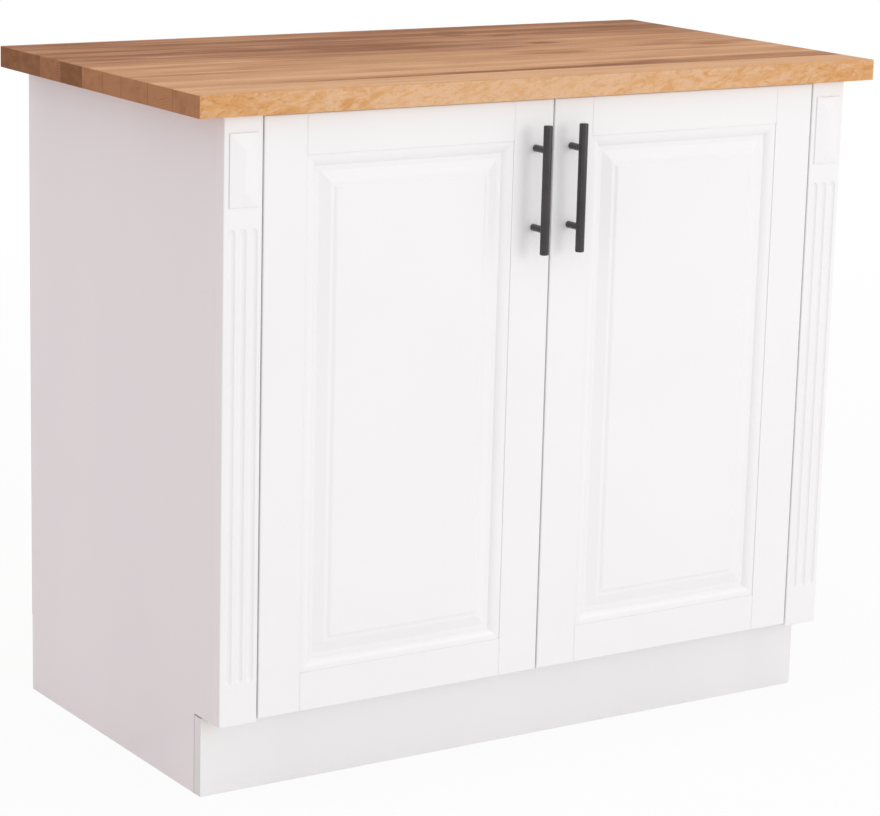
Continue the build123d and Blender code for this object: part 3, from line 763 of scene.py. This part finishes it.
def addPiece(bm, name, body, nodes, finish, smoothAngle=40):
    bmesh.ops.remove_doubles(bm, verts=bm.verts, dist=weld)
    bmesh.ops.recalc_face_normals(bm, faces=bm.faces)
    for edge in bm.edges:
        bend = edge.calc_face_angle(0) if len(edge.link_faces) == 2 else math.pi
        edge.smooth = bend < math.radians(smoothAngle)
    for face in bm.faces:
        face.smooth = True
    mesh = bpy.data.meshes.new(name)
    bm.to_mesh(mesh)
    bm.free()
    piece = bpy.data.objects.new(name, mesh)
    bpy.context.scene.collection.objects.link(piece)
    mesh.materials.append(finish)
    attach(piece, body)
    if nodes:
        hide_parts(*nodes)


def vertsOf(grown):  # what an extrusion made, its points alone
    return [item for item in grown["geom"] if isinstance(item, bmesh.types.BMVert)]


def rimEdges(bm, height):  # the outer edges of a ring that lies at one height
    level = [e for e in bm.edges if all(abs(v.co.z - height) < 1e-7 for v in e.verts)]
    return [e for e in level if len(e.link_faces) == 2]


def rod(radius, length, ends, sides):  # a round bar along Z from 0, its ends eased
    bm = bmesh.new()
    bmesh.ops.create_circle(bm, cap_ends=True, segments=sides, radius=radius)
    grown = bmesh.ops.extrude_face_region(bm, geom=bm.faces[:])
    bmesh.ops.translate(bm, vec=(0, 0, length), verts=vertsOf(grown))
    for height, ease, steps in ends:
        rim = rimEdges(bm, height)
        bmesh.ops.bevel(
            bm, geom=rim, offset=ease, segments=steps, profile=0.5, affect="EDGES", material=-1
        )
    return bm


def addCopy(target, source, matrix):  # a turned and placed copy of one bmesh goes into another
    made = bpy.data.meshes.new("made")
    source.to_mesh(made)
    made.transform(matrix)
    target.from_mesh(made)
    bpy.data.meshes.remove(made)


def aboutX(degrees):
    return Matrix.Rotation(math.radians(degrees), 4, "X")


# the radius and the steps of the eased ends
handle = {"barEnd": 0.0012, "barSteps": 3, "postFoot": 0.0004, "postSteps": 2, "sides": 56}


def barHandle(name):
    low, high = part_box(f"handle_bar_{name}")
    centre = (low + high) / 2
    radius = (high.x - low.x) / 2
    length = high.z - low.z
    ease = (handle["barEnd"], handle["barSteps"])
    bar = rod(radius, length, [(0, *ease), (length, *ease)], handle["sides"])
    bmesh.ops.translate(bar, vec=(centre.x, centre.y, low.z), verts=bar.verts)
    door = f"door_{name}"
    addPiece(bar, f"bar_{name}", door, [f"handle_bar_{name}"], blackCoat)

    posts = bmesh.new()
    for postLow, postHigh in islands(f"handle_posts_{name}"):
        reach = postHigh.y - centre.y
        foot = [(0, handle["postFoot"], handle["postSteps"])]
        post = rod((postHigh.x - postLow.x) / 2, reach, foot, handle["sides"])
        seat = Vector((centre.x, postHigh.y, (postLow.z + postHigh.z) / 2))
        addCopy(posts, post, Matrix.Translation(seat) @ aboutX(90))
        post.free()
    addPiece(posts, f"posts_{name}", door, [f"handle_posts_{name}"], blackCoat)


for name in ("left", "right"):
    barHandle(name)
print("handles made")

driven = {
    "recessShare": 0.56,  # an arm's reach, of the head's radius
    "recessWide": 0.15,
    "recessDeep": 0.62,  # of the head's height
    "recessFloor": 0.7,  # of the recess's width
    "crown": 0.28,  # of the head's height
    "crownShare": 0.93,  # of the head's radius
    "skirt": 2.2,  # crowns from the top down to the head's full width
    "pointFrom": 0.86,  # of the shank's length
    "pointWide": 0.12,
    "firstTurn": 0.4,  # the crosses stand as they were driven
    "nextTurn": 1.1,
    "sides": 28,
    "smoothAngle": 35,
}


def crossScrew(headRadius, headTall, shankRadius, length):
    # the head bears on z = 0 and the shank runs down from it
    bm = bmesh.new()
    crown = headTall * driven["crown"]
    wide = headRadius * driven["recessWide"]
    arm = headRadius * driven["recessShare"]
    bmesh.ops.create_grid(bm, x_segments=1, y_segments=1, size=wide)
    for edge in bm.edges[:]:
        middle = (edge.verts[0].co + edge.verts[1].co) / 2
        grown = bmesh.ops.extrude_edge_only(bm, edges=[edge])
        bmesh.ops.translate(bm, vec=middle.normalized() * (arm - wide), verts=vertsOf(grown))
    bmesh.ops.translate(bm, vec=(0, 0, headTall), verts=bm.verts)
    cross = bm.faces[:]
    crossRim = [e for e in bm.edges if e.is_boundary]
    crownRadius = headRadius * driven["crownShare"]
    circle = {"cap_ends": False, "segments": driven["sides"], "radius": crownRadius}
    ring = bmesh.ops.create_circle(bm, **circle)["verts"]
    bmesh.ops.translate(bm, vec=(0, 0, headTall - crown), verts=ring)
    rim = [e for e in bm.edges if e.verts[0] in ring and e.verts[1] in ring]
    bmesh.ops.bridge_loops(bm, edges=crossRim + rim)
    floor = vertsOf(bmesh.ops.extrude_face_region(bm, geom=cross))
    bmesh.ops.translate(bm, vec=(0, 0, -headTall * driven["recessDeep"]), verts=floor)
    bmesh.ops.scale(bm, vec=(driven["recessFloor"], driven["recessFloor"], 1), verts=floor)
    bmesh.ops.delete(bm, geom=cross, context="FACES")
    outline = [
        (headRadius, headTall - crown * driven["skirt"]),
        (headRadius, 0),
        (shankRadius, 0),
        (shankRadius, -length * driven["pointFrom"]),
        (shankRadius * driven["pointWide"], -length),
    ]
    for radius, height in outline:
        grown = bmesh.ops.extrude_edge_only(bm, edges=rim)
        moved = vertsOf(grown)
        was = moved[0].co.xy.length
        bmesh.ops.scale(bm, vec=(radius / was, radius / was, 1), verts=moved)
        bmesh.ops.translate(bm, vec=(0, 0, height - moved[0].co.z), verts=moved)
        rim = [item for item in grown["geom"] if isinstance(item, bmesh.types.BMEdge)]
    bmesh.ops.contextual_create(bm, geom=rim)
    return bm


screwSets = {
    # name: node, body, outward axis, head radius, head height, shank radius
    "plateScrews": ("plate_screws", "cabinet", "in", 0.0045, 0.002, 0.0024),
    "armScrews": ("arm_screws", "cabinet", "in", 0.00375, 0.0018, 0.0019),
    "cupScrewsLeft": ("cup_screws_left", "door_left", "back", 0.0032, 0.0007, 0.0017),
    "cupScrewsRight": ("cup_screws_right", "door_right", "back", 0.0032, 0.0007, 0.0017),
    "boltsLeft": ("handle_bolts_left", "door_left", "back", 0.00425, 0.0018, 0.0019),
    "boltsRight": ("handle_bolts_right", "door_right", "back", 0.00425, 0.0018, 0.0019),
    "worktopScrews": ("worktop_screws", "cabinet", "down", 0.004, 0.0024, 0.0019),
    "pilasterScrews": ("pilaster_screws", "cabinet", "back", 0.004, 0.0024, 0.0019),
}


def outward(facing, middle):  # the way that a screw's head looks
    if facing == "in":
        return Vector((-math.copysign(1, middle.x), 0, 0))
    return Vector((0, 1, 0)) if facing == "back" else Vector((0, 0, -1))


def drivenSet(name, node, body, facing, headRadius, headTall, shankRadius):
    bm = bmesh.new()
    for n, (low, high) in enumerate(islands(node)):
        middle = (low + high) / 2
        axis = outward(facing, middle)
        half = max(abs(a * (h - l)) for a, h, l in zip(axis, high, low)) / 2
        screw = crossScrew(headRadius, headTall, shankRadius, 2 * half - headTall)
        seat = Matrix.Translation(middle + axis * (half - headTall))
        spin = Matrix.Rotation(driven["firstTurn"] + driven["nextTurn"] * n, 4, "Z")
        lean = axis.to_track_quat("Z", "Y").to_matrix().to_4x4()
        addCopy(bm, screw, seat @ (lean @ spin))
        screw.free()
    addPiece(bm, name, body, [node], zincPlate, driven["smoothAngle"])


for name, sizes in screwSets.items():
    drivenSet(name, *sizes)
print("screws made")

pads = {"sides": 32, "ease": 0.0009, "steps": 4}
for name in ("left", "right"):
    bm = bmesh.new()
    for low, high in islands(f"bumpers_{name}"):
        tall = high.y - low.y
        pad = rod((high.x - low.x) / 2, tall, [(tall, pads["ease"], pads["steps"])], pads["sides"])
        seat = Vector(((low.x + high.x) / 2, low.y, (low.z + high.z) / 2))
        addCopy(bm, pad, Matrix.Translation(seat) @ aboutX(-90))
        pad.free()
    addPiece(bm, f"pads_{name}", f"door_{name}", [f"bumpers_{name}"], clearPad)
print("pads made")

# The paint lies thick in the scores at the doors' corners, so they show only faintly
score = {
    "stile": 0.056,  # from the door's edge
    "rail": 0.048,
    "wide": 0.00086,
    "floor": 0.0006,
    "open": 0.00022,  # the depth that the paint leaves
    "end": 0.0008,
}
for name in ("left", "right"):
    low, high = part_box(f"door_{name}")
    size = Vector((score["wide"], score["floor"] - score["open"], score["rail"] - score["end"]))
    depth = low.y + (score["floor"] + score["open"]) / 2
    middle = (score["rail"] + score["end"]) / 2
    bm = bmesh.new()
    for column in (low.x + score["stile"], high.x - score["stile"]):
        for row in (low.z + middle, high.z - middle):
            spot = Matrix.Translation((column, depth, row)) @ Matrix.Diagonal((*size, 1))
            bmesh.ops.create_cube(bm, size=1, matrix=spot)
    addPiece(bm, f"scorePaint_{name}", f"door_{name}", [], thickPaint)
print("scores filled")

# The floor and the light
stage = {
    "floorHalf": 40,
    "floorColour": (0.88, 0.88, 0.88),
    "floorGlow": 0.9,
    "floorFade": (1.2, 4.0),  # the floor turns plain white this far from the cabinet
    "skyLevel": 0.84,
    "aim": (0, 0, 0.45),
    "keyPlace": (3.6, -6.4, 2.1),
    "keySize": 3.0,
    "keyPower": 86,
    "topPlace": (-0.6, -0.4, 4.2),
    "topSize": 3.0,
    "topPower": 20,
}


def seenDirectly(start):  # camera, mirror and see-through rays
    names = ("Is Camera Ray", "Is Glossy Ray", "Is Transmission Ray")
    straight, mirrored, through = start.node("LightPath").outs(*names)
    return straight.most(mirrored).most(through)


floorMesh = bmesh.new()
bmesh.ops.create_grid(floorMesh, x_segments=2, y_segments=2, size=stage["floorHalf"])
floorData = bpy.data.meshes.new("studioFloor")
floorMesh.to_mesh(floorData)
floorMesh.free()
studioFloor = bpy.data.objects.new("studioFloor", floorData)
bpy.context.scene.collection.objects.link(studioFloor)
floorFinish, floorPlace, _ = newFinish("studioFloor")
matte = floorPlace.node("BsdfDiffuse", None, {"Color": (*stage["floorColour"], 1)})
glow = floorPlace.node("Emission", None, {"Color": (1, 1, 1, 1), "Strength": 1.0})
away = floorPlace.node("VectorMath", {"operation": "LENGTH"}, {0: floorPlace}, 1)
plain = between(away, *stage["floorFade"]) * (1 - stage["floorGlow"]) + stage["floorGlow"]
glowing = seenDirectly(floorPlace) * plain
mixed = floorPlace.node("MixShader", None, {0: glowing, 1: matte, 2: glow})
floorPlace.node("OutputMaterial", None, {"Surface": mixed})
floorData.materials.append(floorFinish)

world = bpy.data.worlds.new("studio")
world.use_nodes = True
world.node_tree.nodes.clear()
bpy.context.scene.world = world
sky = Wire(world.node_tree)
level = seenDirectly(sky) * (1 - stage["skyLevel"]) + stage["skyLevel"]
background = sky.node("Background", None, {"Color": (1, 1, 1, 1), "Strength": level})
sky.node("OutputWorld", None, {"Surface": background})


def softbox(name, place, size, power):
    lamp = bpy.data.lights.new(name, "AREA")
    lamp.shape = "SQUARE"
    lamp.size = size
    lamp.energy = power
    box = bpy.data.objects.new(name, lamp)
    bpy.context.scene.collection.objects.link(box)
    box.location = place
    towards = Vector(stage["aim"]) - Vector(place)
    box.rotation_euler = towards.to_track_quat("-Z", "Y").to_euler()


softbox("keySoftbox", stage["keyPlace"], stage["keySize"], stage["keyPower"])
softbox("topSoftbox", stage["topPlace"], stage["topSize"], stage["topPower"])

# The camera stands to the left of the cabinet and looks slightly down, as in the photograph
lens = {
    "place": (-2.063018, -3.163381, 1.268888),
    "yaw": 0.578681,
    "pitch": 0.229226,
    "roll": -0.025569,
    "length": 122.632,
    "sensor": 36,
}
cameraData = bpy.data.cameras.new("photoCamera")
cameraData.lens = lens["length"]
cameraData.sensor_width = lens["sensor"]
camera = bpy.data.objects.new("photoCamera", cameraData)
bpy.context.scene.collection.objects.link(camera)
camera.matrix_world = (
    Matrix.Translation(lens["place"])
    @ Matrix.Rotation(-lens["yaw"], 4, "Z")
    @ Matrix.Rotation(math.radians(90) - lens["pitch"], 4, "X")
    @ Matrix.Rotation(-lens["roll"], 4, "Z")
)
bpy.context.scene.camera = camera
bpy.context.scene.view_settings.view_transform = "Standard"
print("stage set")
